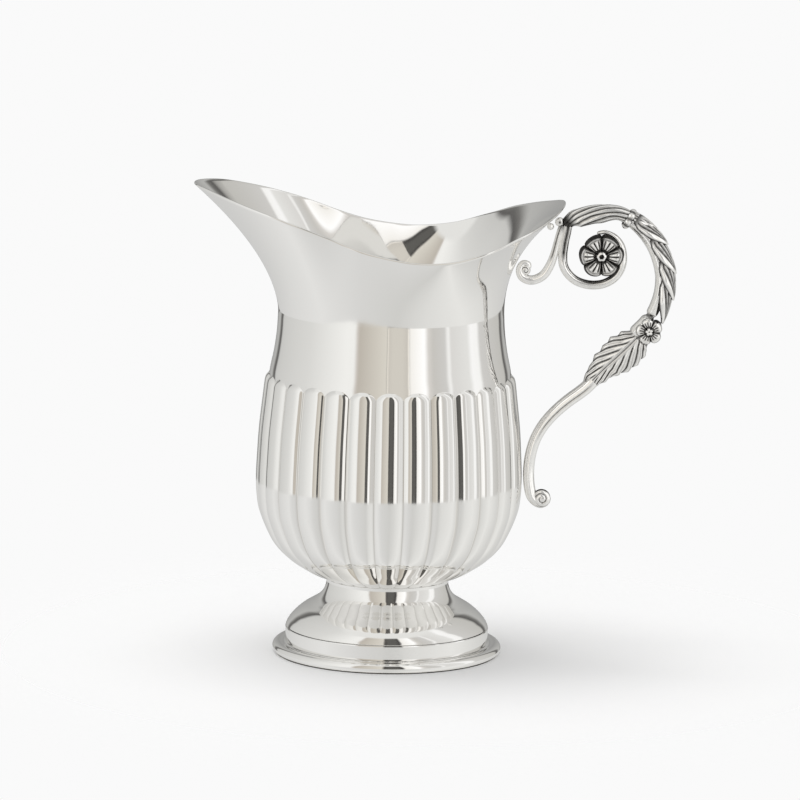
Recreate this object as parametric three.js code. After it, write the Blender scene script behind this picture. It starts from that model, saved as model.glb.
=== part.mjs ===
// Silver water pitcher: a lobed bowl on a moulded foot, a plain neck drawn out to a spout,
// and a cast scroll handle with leaves, a rosette and a flower.
// Millimetres, +Z up. The spout points along -X and the handle along +X.
import * as THREE from 'three'
import { mergeVertices } from 'three/addons/utils/BufferGeometryUtils.js'

// Driving dimensions, measured from the vessel's own axis and from the table.
const gap = 0.3
const wall = 1.1
const lobeCount = 28
const lobeSweep = THREE.MathUtils.degToRad(28)
const archCentreZ = 125.5
const archHeight = 6.6
const shoulderZ = 131.5
const shoulderRadius = 54.9
const waistZ = 158
const waistRadius = 51.5
const footJointZ = 34.4
const footJointRadius = 27.9
const bandRadius = 46.3
const bandBottomZ = 5
const bandTopZ = 12
const baseRadius = 52.4
const spoutReach = 91.2
const handleReach = 130.6

// The part's origin is under the middle of its overall length, so the axis stands off it.
const axisX = (spoutReach - handleReach) / 2

const part = new THREE.Group()
const assembly = new THREE.Group()
assembly.position.x = axisX
part.add(assembly)

const brightSilver = { color: 0xd9d9d6, roughness: 0.08, metalness: 1 }
const oxidisedSilver = { color: 0x8d8678, roughness: 0.34, metalness: 1 }

function addPiece(name, geometry, finish) {
  geometry.deleteAttribute('normal')
  geometry.deleteAttribute('uv')
  const closed = mergeVertices(geometry, 1e-4)
  closed.computeVertexNormals()
  const mesh = new THREE.Mesh(closed, new THREE.MeshStandardMaterial(finish))
  mesh.name = name
  assembly.add(mesh)
  return mesh
}

// A closed loop of profile points spun about +Z, each vertex then placed by place(azimuth, row).
function spunGrid(rows, columns, place) {
  const profile = Array.from({ length: rows }, (_, row) => new THREE.Vector2(1, row))
  profile.push(profile[0].clone())
  return placeVertices(new THREE.LatheGeometry(profile, columns), rows + 1, columns, place, rows)
}

// A profile that starts and ends on the axis, placed the same way.
function cappedGrid(rows, columns, place) {
  const profile = Array.from({ length: rows }, (_, row) => new THREE.Vector2(1, row))
  return placeVertices(new THREE.LatheGeometry(profile, columns), rows, columns, place, rows)
}

function placeVertices(geometry, rowsStored, columns, place, rows) {
  const position = geometry.attributes.position
  for (let column = 0; column <= columns; column++) {
    const azimuth = 2 * Math.PI * (column % columns) / columns
    for (let row = 0; row < rowsStored; row++) {
      const point = place(azimuth, row % rows)
      position.setXYZ(column * rowsStored + row, point.x, point.y, point.z)
    }
  }
  return geometry
}

function atAzimuth(azimuth, radius, z) {
  return new THREE.Vector3(radius * Math.cos(azimuth), radius * Math.sin(azimuth), z)
}

// Turned rings and plates: the outline closes on itself or on the axis.
function turned(outline, columns) {
  const profile = outline.map(([radius, z]) => new THREE.Vector2(radius, z))
  return new THREE.LatheGeometry(profile, columns).rotateX(Math.PI / 2)
}

// The bowl.

const crestProfile = new THREE.SplineCurve([
  [28.6, 35], [37, 38.4], [45.8, 44.2], [53.6, 52.6], [58.9, 64.5], [60.5, 73],
  [60.8, 82], [60.3, 94], [59.6, 105], [58.2, 118], [57.2, 127], [56.8, shoulderZ]
].map(([radius, z]) => new THREE.Vector2(radius, z)))

const innerProfile = new THREE.SplineCurve([
  [shoulderRadius - wall, shoulderZ], [55.6, 119], [57.3, 100], [57.8, 84],
  [56, 67], [50.5, 54], [42, 46], [32, 40.4], [20, 37.6]
].map(([radius, z]) => new THREE.Vector2(radius, z)))

// 0 on a lobe's crest and 1 in the groove, along a round arc.
function lobeSag(offset) {
  const arcRadius = 1 / Math.sin(lobeSweep)
  const sag = arcRadius - Math.sqrt(arcRadius ** 2 - Math.min(offset, 1) ** 2)
  return sag / (arcRadius - Math.sqrt(arcRadius ** 2 - 1))
}

function grooveDepth(radius) {
  const halfPitch = Math.PI / lobeCount
  return radius * Math.sin(halfPitch) * Math.tan(lobeSweep / 2)
}

function lobedRadius(azimuth, crestRadius, z) {
  const phase = azimuth * lobeCount / (2 * Math.PI)
  const across = 2 * Math.abs(phase - Math.round(phase))
  const along = Math.max(0, (z - archCentreZ) / archHeight)
  const lobed = crestRadius - grooveDepth(crestRadius) * lobeSag(Math.hypot(across, along))
  const plain = shoulderRadius + 0.07 * (shoulderZ - z)
  return z > archCentreZ - archHeight ? Math.max(lobed, plain) : lobed
}

const crestRows = 12
const innerRows = 6
const bowlColumns = lobeCount * 4

addPiece('fluted_bowl', cappedGrid(crestRows + innerRows + 2, bowlColumns, (azimuth, row) => {
  if (row === 0) return new THREE.Vector3(0, 0, footJointZ)
  if (row <= crestRows) {
    const crest = crestProfile.getPoint((row - 1) / (crestRows - 1))
    return atAzimuth(azimuth, lobedRadius(azimuth, crest.x, crest.y), crest.y)
  }
  if (row <= crestRows + innerRows) {
    const inner = innerProfile.getPoint((row - crestRows - 1) / (innerRows - 1))
    return atAzimuth(azimuth, inner.x, inner.y)
  }
  return new THREE.Vector3(0, 0, footJointZ + 2.4)
}), brightSilver)

// The neck, mouth and spout.

// Half of the rim from the handle round to the spout: degrees, radius, height.
const rimStations = [
  [0, 79.4, 209.5], [20, 78, 206], [40, 76.5, 200.3], [53, 73.6, 194.6], [64, 67, 190.3],
  [77, 60.2, 189], [90, 55.4, 190.4], [105, 53.6, 193.4], [120, 55.4, 198.2], [135, 65, 204.5],
  [150, 75.5, 210.3], [165, 84.6, 214.8], [180, spoutReach, 216.5]
]

function rimAt(azimuth) {
  const degrees = THREE.MathUtils.radToDeg(Math.acos(Math.cos(azimuth)))
  const last = rimStations.length - 1
  const after = Math.max(1, rimStations.findIndex((station) => station[0] >= degrees - 1e-6))
  const here = rimStations[after - 1]
  const next = rimStations[after]
  const share = (degrees - here[0]) / (next[0] - here[0])
  const before = after >= 2 ? rimStations[after - 2] : [-next[0], next[1], next[2]]
  const beyond = after < last ? rimStations[after + 1] : [360 - here[0], here[1], here[2]]
  const blend = (index) => {
    const slopeHere = (next[index] - before[index]) / (next[0] - before[0])
    const slopeNext = (beyond[index] - here[index]) / (beyond[0] - here[0])
    const span = next[0] - here[0]
    const square = share * share
    const cube = square * share
    return (2 * cube - 3 * square + 1) * here[index] + (cube - 2 * square + share) * span * slopeHere
      + (3 * square - 2 * cube) * next[index] + (cube - square) * span * slopeNext
  }
  return { radius: blend(1), z: blend(2) }
}

const neckBottomZ = shoulderZ + gap
const neckProfile = new THREE.SplineCurve([
  [shoulderRadius, neckBottomZ], [53.2, 140], [52, 149], [waistRadius, waistZ]
].map(([radius, z]) => new THREE.Vector2(radius, z)))

const neckRows = 3
const flareRows = 7
const neckColumns = 48

function neckPoint(azimuth, row, inset) {
  if (row < neckRows) {
    const point = neckProfile.getPoint(row / neckRows)
    return atAzimuth(azimuth, point.x - inset, point.y)
  }
  const rise = (row - neckRows) / flareRows
  const rim = rimAt(azimuth)
  const sharpness = 1.95 + 0.25 * Math.cos(azimuth)
  const radius = waistRadius + (rim.radius - waistRadius) * rise ** sharpness
  return atAzimuth(azimuth, radius - inset, waistZ + (rim.z - waistZ) * rise)
}

const neckSide = neckRows + flareRows + 1

addPiece('neck_and_spout', spunGrid(neckSide * 2, neckColumns, (azimuth, row) => (
  row < neckSide ? neckPoint(azimuth, row, 0) : neckPoint(azimuth, 2 * neckSide - 1 - row, wall)
)), brightSilver)

// The foot.

const footColumns = 40

addPiece('foot_trumpet', turned([
  [footJointRadius, footJointZ - gap], [28, 32.6], [28.3, 30.6], [29.4, 28], [31.6, 25.5],
  [34.9, 23.3], [38.7, 21], [41.9, 18.4], [44.3, 15.8], [45.6, 13.9],
  [bandRadius, bandTopZ + gap], [bandRadius - 1.6, bandTopZ + gap], [44.3, 13.4], [43.2, 15],
  [41, 17.4], [38, 19.8], [34.2, 22.2], [30.8, 24.5], [28.3, 27.3], [27, 30.3], [26.7, 32.5],
  [26.6, footJointZ - gap], [footJointRadius, footJointZ - gap]
].reverse(), footColumns), brightSilver)

addPiece('foot_band', turned([
  [bandRadius, bandBottomZ], [bandRadius, bandTopZ], [bandRadius - 1.6, bandTopZ],
  [bandRadius - 1.6, bandBottomZ], [bandRadius, bandBottomZ]
], footColumns), brightSilver)

addPiece('foot_base_moulding', turned([
  [bandRadius - 1.6, bandBottomZ - gap], [bandRadius + 0.2, bandBottomZ - gap], [47.3, 4.4],
  [48.3, 4.6], [49.6, 4.9], [50.9, 4.6], [51.9, 3.8], [baseRadius, 2.5], [52.1, 1.1],
  [51.3, 0], [47.4, 0], [46, 1.6], [bandRadius - 1.6, 3.4], [bandRadius - 1.6, bandBottomZ - gap]
].reverse(), footColumns), brightSilver)

// The handle lies in the plane y = 0.

function inPlane(points) {
  return new THREE.CatmullRomCurve3(points.map(([x, z]) => new THREE.Vector3(x, 0, z)))
}

// The point beside a curve: across lies in the handle's plane, to the left of the way along.
function beside(curve, share, across, sideways) {
  const point = curve.getPointAt(share)
  const along = curve.getTangentAt(share)
  return new THREE.Vector3(point.x - along.z * across, sideways, point.z + along.x * across)
}

// A round bar along a curve, its radius changing from start to end.
function bar(curve, radiusAt, steps, sides) {
  return cappedGrid(steps + 3, sides, (azimuth, row) => {
    const share = THREE.MathUtils.clamp((row - 1) / steps, 0, 1)
    const radius = row === 0 || row === steps + 2 ? 0 : radiusAt(share)
    return beside(curve, share, radius * Math.cos(azimuth), -radius * Math.sin(azimuth))
  })
}

const arcBarRadius = 2.7
const arcCurve = inPlane([
  [80.5, 200.6], [84, 202.6], [88.6, 204], [93.5, 204.8], [98.8, 204.8], [104, 203.6],
  [109.5, 200.3], [114.5, 195.4], [118.6, 189.4], [121.3, 182.6], [122.6, 176],
  [122.3, 169.4], [120.8, 163.6], [118.6, 158.6], [116.6, 155.4]
])
addPiece('handle_arc', bar(arcCurve, (share) => arcBarRadius - 0.6 * (1 - share) ** 3, 28, 12),
  oxidisedSilver)

const collarShare = 0.365
const collarAt = arcCurve.getPointAt(collarShare)
const collarAlong = arcCurve.getTangentAt(collarShare)
const collar = addPiece('handle_collar', turned([
  [arcBarRadius + 0.35, -1.4], [arcBarRadius + 1.5, -1.2], [arcBarRadius + 2, 0],
  [arcBarRadius + 1.5, 1.2], [arcBarRadius + 0.35, 1.4], [arcBarRadius + 0.35, -1.4]
], 16), oxidisedSilver)
collar.position.copy(collarAt)
collar.quaternion.setFromUnitVectors(new THREE.Vector3(0, 0, 1), collarAlong)

// A leaf lies on the outer side of the arc like a saddle, pointed at both ends.
const leafRings = 7
function archLeaf(from, to, thickness, wrap) {
  return cappedGrid(leafRings + 2, 12, (azimuth, row) => {
    const share = row / (leafRings + 1)
    const fullness = Math.sin(Math.PI * share) ** 0.6
    const outer = azimuth <= Math.PI
    const turn = outer ? 1 - 2 * azimuth / Math.PI : 2 * azimuth / Math.PI - 3
    const rise = outer ? thickness * fullness * (1 - turn ** 2) : 0
    const distance = arcBarRadius + gap + 0.12 + rise
    const angle = wrap * fullness * turn
    return beside(arcCurve, from + (to - from) * share,
      distance * Math.cos(angle), distance * Math.sin(angle))
  })
}

const outerLeafCount = 5
const leafSpan = (0.985 - 0.4) / outerLeafCount
for (let index = 0; index < outerLeafCount; index++) {
  const from = 0.4 + leafSpan * index
  const thickness = index === outerLeafCount - 1 ? 2.6 : 4.4
  addPiece(`laurel_leaf_${index + 1}`, archLeaf(from + 0.004, from + leafSpan - 0.004, thickness, 1.6),
    oxidisedSilver)
}
addPiece('upper_leaf_1', archLeaf(0.02, 0.17, 0.9, 1.5), oxidisedSilver)
addPiece('upper_leaf_2', archLeaf(0.178, 0.33, 1.1, 1.5), oxidisedSilver)

// The two strands that part below the rim: one coils round the rosette, one braces the neck.
const coilCurve = inPlane([
  [79.6, 197.4], [78.4, 190.6], [77.7, 184.6], [78.2, 180.2], [80.4, 176.4], [84.4, 173.2],
  [90.2, 171.6], [96.4, 172.2], [101.5, 175.2], [104.4, 179.9], [105, 185.4], [104, 190.2],
  [101.6, 193.8]
])
addPiece('scroll_strand', bar(coilCurve, (share) => 1.9 - 0.7 * share ** 4, 26, 10), brightSilver)

const bracketCurve = inPlane([
  [75.6, 197], [74.4, 190.6], [73.3, 184.8], [71.6, 179.6], [68.6, 175.4], [63.8, 173.4],
  [59.6, 174.6], [57.8, 178.2], [59.2, 181.4], [61.8, 181.4]
])
addPiece('neck_bracket', bar(bracketCurve, (share) => 1.75 - 0.75 * share ** 5, 22, 10),
  brightSilver)

// The lower stem rests on the bowl and hooks outward under it.
const stemCurve = inPlane([
  [88.4, 123.4], [80.6, 117.4], [74.6, 111.6], [69.8, 105.6], [66.4, 99], [64.4, 91.6],
  [63.9, 84.6], [64.3, 78], [65.9, 72.6], [69.4, 69.6], [72.6, 70.6], [73.2, 73.4], [71.4, 74.8]
])
addPiece('lower_stem', bar(stemCurve, (share) => 2.9 - 0.9 * share, 26, 12), brightSilver)

// Discs and beads in front of and behind the handle's plane.
function buttonOn(name, centre, faceY, outline, columns, finish) {
  for (const [suffix, side] of [['front', -1], ['back', 1]]) {
    const button = addPiece(`${name}_${suffix}`, turned(outline, columns), finish)
    button.rotation.x = side < 0 ? Math.PI / 2 : -Math.PI / 2
    button.position.set(centre[0], side * faceY, centre[1])
  }
}

const rosetteCentre = [95.3, 185.2]
const rosetteRadius = 11
const strandHalf = 1.9
buttonOn('rosette', rosetteCentre, strandHalf + gap, [
  [0, 0], [rosetteRadius - 0.8, 0], [rosetteRadius, 0.8], [9.4, 2.3], [6, 3.1], [4.4, 2.4],
  [3.6, 1.6], [0, 1.6]
], 24, oxidisedSilver)
buttonOn('rosette_boss', rosetteCentre, strandHalf + 2 * gap + 1.6, [
  [0, 0], [2.9, 0], [3.1, 0.8], [2.4, 1.8], [1.2, 2.2], [1, 1.2], [0, 1.2]
], 16, oxidisedSilver)

const core = addPiece('rosette_core', turned([
  [0, -strandHalf], [7.2, -strandHalf], [7.2, strandHalf], [0, strandHalf]
], 20), oxidisedSilver)
core.rotation.x = Math.PI / 2
core.position.set(rosetteCentre[0], 0, rosetteCentre[1])

const flowerCentre = [117.6, 150.9]
buttonOn('flower', flowerCentre, arcBarRadius + gap, [
  [0, 0], [5.4, 0], [5.9, 0.8], [4.6, 1.8], [2.4, 1.5], [2, 1], [0, 1]
], 20, oxidisedSilver)
buttonOn('flower_bead', flowerCentre, arcBarRadius + 2 * gap + 1, [
  [0, 0], [1.2, 0], [1.6, 0.7], [1.2, 1.5], [0, 1.9]
], 12, oxidisedSilver)

const voluteCentre = [69.8, 72.6]
buttonOn('volute_eye', voluteCentre, 2.3 + gap, [
  [0, 0], [3.7, 0], [4, 0.6], [3, 1.2], [1.4, 1.5], [0, 1.6]
], 16, brightSilver)
buttonOn('bracket_eye', [60.6, 178.2], 1.75 + gap, [
  [0, 0], [2, 0], [2.2, 0.4], [1.4, 0.9], [0, 1]
], 12, brightSilver)

// The broad leaf between the arc and the stem swells from its outline to its middle.
const leafOutline = new THREE.CatmullRomCurve3([
  [111, 152.6], [106.4, 152.6], [100.8, 150], [96.8, 145.8], [94.4, 140.6], [92.2, 134.4],
  [90.4, 128], [91.6, 125.2], [96.6, 125.4], [104, 128.9], [110.6, 134.2], [113.6, 139.2],
  [114.6, 144.4], [113.4, 149.4]
].map(([x, z]) => new THREE.Vector3(x, 0, z)), true)
const leafMiddle = new THREE.Vector3(103.4, 0, 139.6)
const leafHalfThickness = 4
const leafRows = 11

addPiece('acanthus_leaf', cappedGrid(leafRows, 32, (azimuth, row) => {
  const tilt = Math.PI * row / (leafRows - 1)
  const edge = leafOutline.getPoint(azimuth / (2 * Math.PI))
  const point = leafMiddle.clone().lerp(edge, Math.sin(tilt) ** 0.7)
  point.y = leafHalfThickness * Math.cos(tilt)
  return point
}), oxidisedSilver)

// The bead under the rim and the little knop beside it.
const bead = addPiece('thumb_bead', new THREE.SphereGeometry(2, 14, 10), brightSilver)
bead.position.set(76, 0, 200.2)
const knop = addPiece('rim_knop', new THREE.SphereGeometry(1.1, 10, 8), brightSilver)
knop.position.set(71.6, 0, 197.8)

export default part
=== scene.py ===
import math

import bpy
from mathutils import Matrix, Vector


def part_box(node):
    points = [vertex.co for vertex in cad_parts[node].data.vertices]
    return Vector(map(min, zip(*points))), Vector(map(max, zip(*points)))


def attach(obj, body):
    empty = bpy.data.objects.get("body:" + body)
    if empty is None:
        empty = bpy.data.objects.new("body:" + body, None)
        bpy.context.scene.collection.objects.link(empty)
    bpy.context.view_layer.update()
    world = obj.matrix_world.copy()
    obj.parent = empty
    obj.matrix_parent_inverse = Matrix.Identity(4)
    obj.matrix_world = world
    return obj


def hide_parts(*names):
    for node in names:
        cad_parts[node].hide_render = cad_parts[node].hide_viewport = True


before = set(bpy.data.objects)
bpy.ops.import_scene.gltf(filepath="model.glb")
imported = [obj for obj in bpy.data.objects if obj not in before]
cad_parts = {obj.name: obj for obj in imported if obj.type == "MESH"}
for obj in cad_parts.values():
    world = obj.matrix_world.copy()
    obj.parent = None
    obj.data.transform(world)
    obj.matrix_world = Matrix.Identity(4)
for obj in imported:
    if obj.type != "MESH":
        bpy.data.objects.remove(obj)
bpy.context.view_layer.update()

# Sizes below are in millimetres from the vessel's own axis, and become metres in toFrame.
millimetre = 0.001
footLow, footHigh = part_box("foot_band")
axisX = (footLow[0] + footHigh[0]) / 2


def toFrame(x, y, z):
    return (axisX + x * millimetre, y * millimetre, z * millimetre)


def linear(hexColour):
    channels = [int(hexColour[i:i + 2], 16) / 255 for i in (1, 3, 5)]
    return tuple(c / 12.92 if c <= 0.04045 else ((c + 0.055) / 1.055) ** 2.4 for c in channels)


def mix(a, b, share):
    return a + (b - a) * share


def clamp(value, low=0.0, high=1.0):
    return max(low, min(high, value))


def smooth(value):
    value = clamp(value)
    return value * value * (3 - 2 * value)


def bump(distance, width):
    return math.exp(-(distance / width) ** 2)


def onCircle(radius, angle, centre=(0, 0)):
    return centre[0] + radius * math.cos(angle), centre[1] + radius * math.sin(angle)


# A smooth curve through points: raw(share) goes by control points, at(share) by length.
class Curve:
    def __init__(self, points):
        steps = 400
        self.points = [Vector(p) for p in points]
        self.pieces = len(points) - 1
        self.table = [0.0]
        last = self.raw(0)
        for step in range(1, steps + 1):
            here = self.raw(step / steps)
            self.table.append(self.table[-1] + (here - last).length)
            last = here
        self.length = self.table[-1]

    def control(self, index):
        if index < 0:
            return self.points[0] * 2 - self.points[1]
        if index >= len(self.points):
            return self.points[-1] * 2 - self.points[-2]
        return self.points[index]

    def raw(self, share):
        place = clamp(share) * self.pieces
        index = min(int(place), self.pieces - 1)
        t = place - index
        p0, p1, p2, p3 = (self.control(index + k) for k in (-1, 0, 1, 2))
        return 0.5 * (2 * p1 + (p2 - p0) * t + (2 * p0 - 5 * p1 + 4 * p2 - p3) * t * t
                      + (3 * p1 - p0 - 3 * p2 + p3) * t * t * t)

    def at(self, share):
        target = clamp(share) * self.length
        low, high = 0, len(self.table) - 1
        while high - low > 1:
            middle = (low + high) // 2
            if self.table[middle] < target:
                low = middle
            else:
                high = middle
        span = self.table[high] - self.table[low]
        part = (target - self.table[low]) / span if span else 0
        return self.raw((low + part) / (len(self.table) - 1))

    def along(self, share):
        step = 0.002
        return (self.at(share + step) - self.at(share - step)).normalized()


# Steps smoothly through a table of (place, value).
def ramp(stops, value):
    if value <= stops[0][0]:
        return stops[0][1]
    for (x0, y0), (x1, y1) in zip(stops, stops[1:]):
        if value <= x1:
            return mix(y0, y1, smooth((value - x0) / (x1 - x0)))
    return stops[-1][1]


# Meshes

pieces = []


def plainMesh(name, vertices, faces, recess):
    mesh = bpy.data.meshes.new(name)
    mesh.from_pydata(vertices, [], faces)
    attribute = mesh.attributes.new("recess", "FLOAT", "POINT")
    attribute.data.foreach_set("value", recess)
    mesh.update()
    return mesh


# Makes a finished piece of a mesh that is already in its place.
def adoptMesh(name, mesh, material, nodes, sharpAngle):
    mesh.name = name
    mesh.polygons.foreach_set("use_smooth", [True] * len(mesh.polygons))
    if not mesh.materials:
        mesh.materials.append(material)
    piece = bpy.data.objects.new(name, mesh)
    bpy.context.scene.collection.objects.link(piece)
    faceOutward(piece)
    mesh.set_sharp_from_angle(angle=math.radians(sharpAngle))
    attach(piece, "root")
    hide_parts(*nodes)
    pieces.append(piece)
    return piece


# Rows of a ring each; place(row, column) gives x, y, z and how deep in a recess it is.
# The last row joins the first in a loop; otherwise a pole closes each end.
def ringMesh(name, rows, columns, place, material, nodes, loop=False, sharpAngle=42):
    vertices = []
    recess = []
    for row in range(rows):
        for column in range(columns):
            x, y, z, depth = place(row, column)
            vertices.append((x, y, z))
            recess.append(depth)
    faces = []
    for row in range(rows if loop else rows - 1):
        nextRow = (row + 1) % rows
        for column in range(columns):
            nextColumn = (column + 1) % columns
            faces.append((row * columns + column, row * columns + nextColumn,
                          nextRow * columns + nextColumn, nextRow * columns + column))
    if not loop:
        addPole(vertices, recess, faces, 0, columns, True)
        addPole(vertices, recess, faces, (rows - 1) * columns, columns, False)
    mesh = plainMesh(name, [toFrame(*v) for v in vertices], faces, recess)
    return adoptMesh(name, mesh, material, nodes, sharpAngle)


def addPole(vertices, recess, faces, first, columns, start):
    ring = vertices[first:first + columns]
    vertices.append(tuple(sum(v[i] for v in ring) / columns for i in range(3)))
    recess.append(sum(recess[first:first + columns]) / columns)
    pole = len(vertices) - 1
    for column in range(columns):
        here = first + column
        there = first + (column + 1) % columns
        faces.append((pole, there, here) if start else (pole, here, there))


# Turns every face outward if the closed shape came out inside out.
def faceOutward(piece):
    mesh = piece.data
    mesh.calc_loop_triangles()
    middle = sum((v.co for v in mesh.vertices), Vector()) / len(mesh.vertices)
    volume = 0.0
    for triangle in mesh.loop_triangles:
        a, b, c = (mesh.vertices[i].co - middle for i in triangle.vertices)
        volume += a.dot(b.cross(c))
    if volume < 0:
        mesh.flip_normals()


# Materials


# Adds a node with its settings and links; "stops" are a colour ramp's, from place 0 to place 1.
def addNode(tree, kind, settings=None, links=None):
    node = tree.nodes.new(kind)
    for key, value in (settings or {}).items():
        if key == "stops":
            for place, _ in value[1:-1]:
                node.color_ramp.elements.new(place)
            for stop, (_, colour) in zip(node.color_ramp.elements, value):
                stop.color = (*linear(colour), 1)
        elif isinstance(key, str) and hasattr(node, key):
            setattr(node, key, value)
        else:
            node.inputs[key].default_value = value
    for key, source in (links or {}).items():
        tree.links.new(source, node.inputs[key])
    return node


silverLook = {
    "polished": "#f6f5f3",
    # The oxide's dark in the handle's recesses, also used as painted shade in a few places.
    "oxidised": "#2a2825",
    # Grey for the bowl's grooves: painted shade between the lobes, also standing for tarnish there.
    "tarnishAndGrooveShade": "#a39e95",
}


def newMaterial(name):
    material = bpy.data.materials.new(name)
    material.use_nodes = True
    material.node_tree.nodes.clear()
    return material, material.node_tree


# Polished silver sheet: a nearly white mirror, its reflections sharp, bent a little by an uneven
# surface and softened in places by fine wear.
def makePolishedSilver():
    material, tree = newMaterial("polished_silver")
    coordinates = addNode(tree, "ShaderNodeTexCoord").outputs["Object"]
    hand, wear = (addNode(tree, "ShaderNodeTexNoise", {"Scale": scale, "Detail": detail},
                          {"Vector": coordinates}) for scale, detail in ((38.0, 2.0), (900.0, 4.0)))
    rough = addNode(tree, "ShaderNodeMapRange",
                    {"From Min": 0.3, "From Max": 0.75, "To Min": 0.035, "To Max": 0.085},
                    {"Value": wear.outputs["Fac"]})
    handBump = addNode(tree, "ShaderNodeBump", {"Strength": 0.06, "Distance": 0.0012},
                       {"Height": hand.outputs["Fac"]})
    # The recess attribute greys the colour: painted shade in the bowl's grooves, also standing for
    # tarnish there.
    recess = addNode(tree, "ShaderNodeAttribute", {"attribute_name": "recess"}).outputs["Fac"]
    colour = addNode(tree, "ShaderNodeMix",
                     {"data_type": "RGBA", 6: (*linear(silverLook["polished"]), 1),
                      7: (*linear(silverLook["tarnishAndGrooveShade"]), 1)}, {0: recess})
    shader = addNode(tree, "ShaderNodeBsdfPrincipled", {"Metallic": 1.0},
                     {"Base Color": colour.outputs[2], "Roughness": rough.outputs["Result"],
                      "Normal": handBump.outputs["Normal"]})
    addNode(tree, "ShaderNodeOutputMaterial", {}, {"Surface": shader.outputs["BSDF"]})
    return material


# Oxidised cast silver: bright where a cloth reaches it and nearly black in the recesses, which
# makes the small relief readable.
# The same darkening also carries painted shade: at the root of each laurel leaf, under the piece
# before it, and on the coil's side towards the rosette.
def makeOxidisedSilver():
    material, tree = newMaterial("oxidised_silver")
    coordinates = addNode(tree, "ShaderNodeTexCoord").outputs["Object"]
    recess = addNode(tree, "ShaderNodeAttribute", {"attribute_name": "recess"}).outputs["Fac"]
    grain = addNode(tree, "ShaderNodeTexNoise", {"Scale": 700.0, "Detail": 5.0},
                    {"Vector": coordinates})
    broken = addNode(tree, "ShaderNodeMath", {"operation": "MULTIPLY_ADD", 1: 0.3, 2: -0.15},
                     {0: grain.outputs["Fac"]})
    # Oxide in the recesses, plus painted shade where a piece marks it, broken up by the grain.
    oxideAndShade = addNode(tree, "ShaderNodeMath", {"operation": "ADD", "use_clamp": True},
                   {0: recess, 1: broken.outputs["Value"]})
    colour = addNode(tree, "ShaderNodeMix",
                     {"data_type": "RGBA", 6: (*linear(silverLook["polished"]), 1),
                      7: (*linear(silverLook["oxidised"]), 1)}, {0: oxideAndShade.outputs["Value"]})
    rough = addNode(tree, "ShaderNodeMapRange", {"To Min": 0.12, "To Max": 0.5},
                    {"Value": oxideAndShade.outputs["Value"]})
    fine = addNode(tree, "ShaderNodeBump", {"Strength": 0.12, "Distance": 0.0002},
                   {"Height": grain.outputs["Fac"]})
    shader = addNode(tree, "ShaderNodeBsdfPrincipled", {"Metallic": 1.0},
                     {"Base Color": colour.outputs[2], "Roughness": rough.outputs["Result"],
                      "Normal": fine.outputs["Normal"]})
    addNode(tree, "ShaderNodeOutputMaterial", {}, {"Surface": shader.outputs["BSDF"]})
    return material


polishedSilver = makePolishedSilver()
oxidisedSilver = makeOxidisedSilver()
print("materials made")

# Bowl

bowl = {
    "lobes": 28,
    "stepsPerLobe": 22,
    "grooveFillet": 0.05,
    "archSteepness": 2,
    # How grey the grooves are painted: painted shade between the lobes, also standing for tarnish.
    "grooveShadeAndTarnish": 0.35,
    "archCentreZ": 125.4,
    "archHeight": 4.5,
    "shoulderZ": 131.6,
    "shoulderRadius": 54.9,
    "wall": 1.1,
    "weld": 0.00001,
    "underNeckSkin": 0.15,
    "shoulderSwell": 0.4,
    "shoulderFall": 2,
    "archBlend": 0.25,
    "archBlendReach": 8,
    "lowRows": 42,
    "archRows": 58,
    "archRowsFrom": 0.865,
    "innerRows": 30,
    "floorRows": 7,
    "floorUnder": (28, 33.9),
    "floorInside": (27, 35.6),
}
crestCurve = Curve([(r, 0, z) for r, z in (
    (28, 34.5), (37, 38.4), (45.8, 44.2), (53.6, 52.6), (58.9, 64.5), (60.5, 73), (60.8, 82),
    (60.3, 94), (59.6, 105), (58.2, 118), (57.2, 127), (56.8, 131.6))])


# A lobe is nearly flat in its middle and turns quickly towards its grooves: how far the surface
# has tilted at each share of the way across, and from that how far it has sunk.
lobeTilt = [(0, 0), (0.5, 11), (0.62, 23), (0.8, 33), (1, 40)]


def sinkTable():
    steps = 200
    sunk = [0.0]
    for step in range(steps):
        across = (step + 0.5) / steps
        for (x0, tilt0), (x1, tilt1) in zip(lobeTilt, lobeTilt[1:]):
            if x0 <= across <= x1:
                tilt = mix(tilt0, tilt1, (across - x0) / (x1 - x0))
        sunk.append(sunk[-1] + math.tan(math.radians(tilt)) / steps)
    return sunk


lobeSunk = sinkTable()


# How far a lobe has sunk below its crest, as a share of half its width.
def lobeSag(offset):
    place = min(offset, 1.0) * (len(lobeSunk) - 1)
    index = min(int(place), len(lobeSunk) - 2)
    inside = mix(lobeSunk[index], lobeSunk[index + 1], place - index)
    return inside + bowl["archSteepness"] * max(0.0, offset - 1)


def plainShoulder(z):
    below = max(0.0, bowl["shoulderZ"] - z)
    swell = bowl["shoulderSwell"] * (1 - math.exp(-below / bowl["shoulderFall"]))
    return bowl["shoulderRadius"] - bowl["underNeckSkin"] + swell


def smoothMax(a, b, blend):
    share = max(blend - abs(a - b), 0) / blend
    return max(a, b) + share * share * blend / 4


def lobedRadius(phase, crest, z):
    fillet = bowl["grooveFillet"]
    across = max(0.0, 1 - math.hypot(1 - abs(phase), fillet))
    along = max(0.0, (z - bowl["archCentreZ"]) / bowl["archHeight"])
    halfWidth = crest * math.sin(math.pi / bowl["lobes"])
    lobed = crest - halfWidth * lobeSag(math.hypot(across, along))
    if z < bowl["archCentreZ"] - bowl["archBlendReach"]:
        return lobed
    return smoothMax(lobed, plainShoulder(z), bowl["archBlend"])


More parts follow.
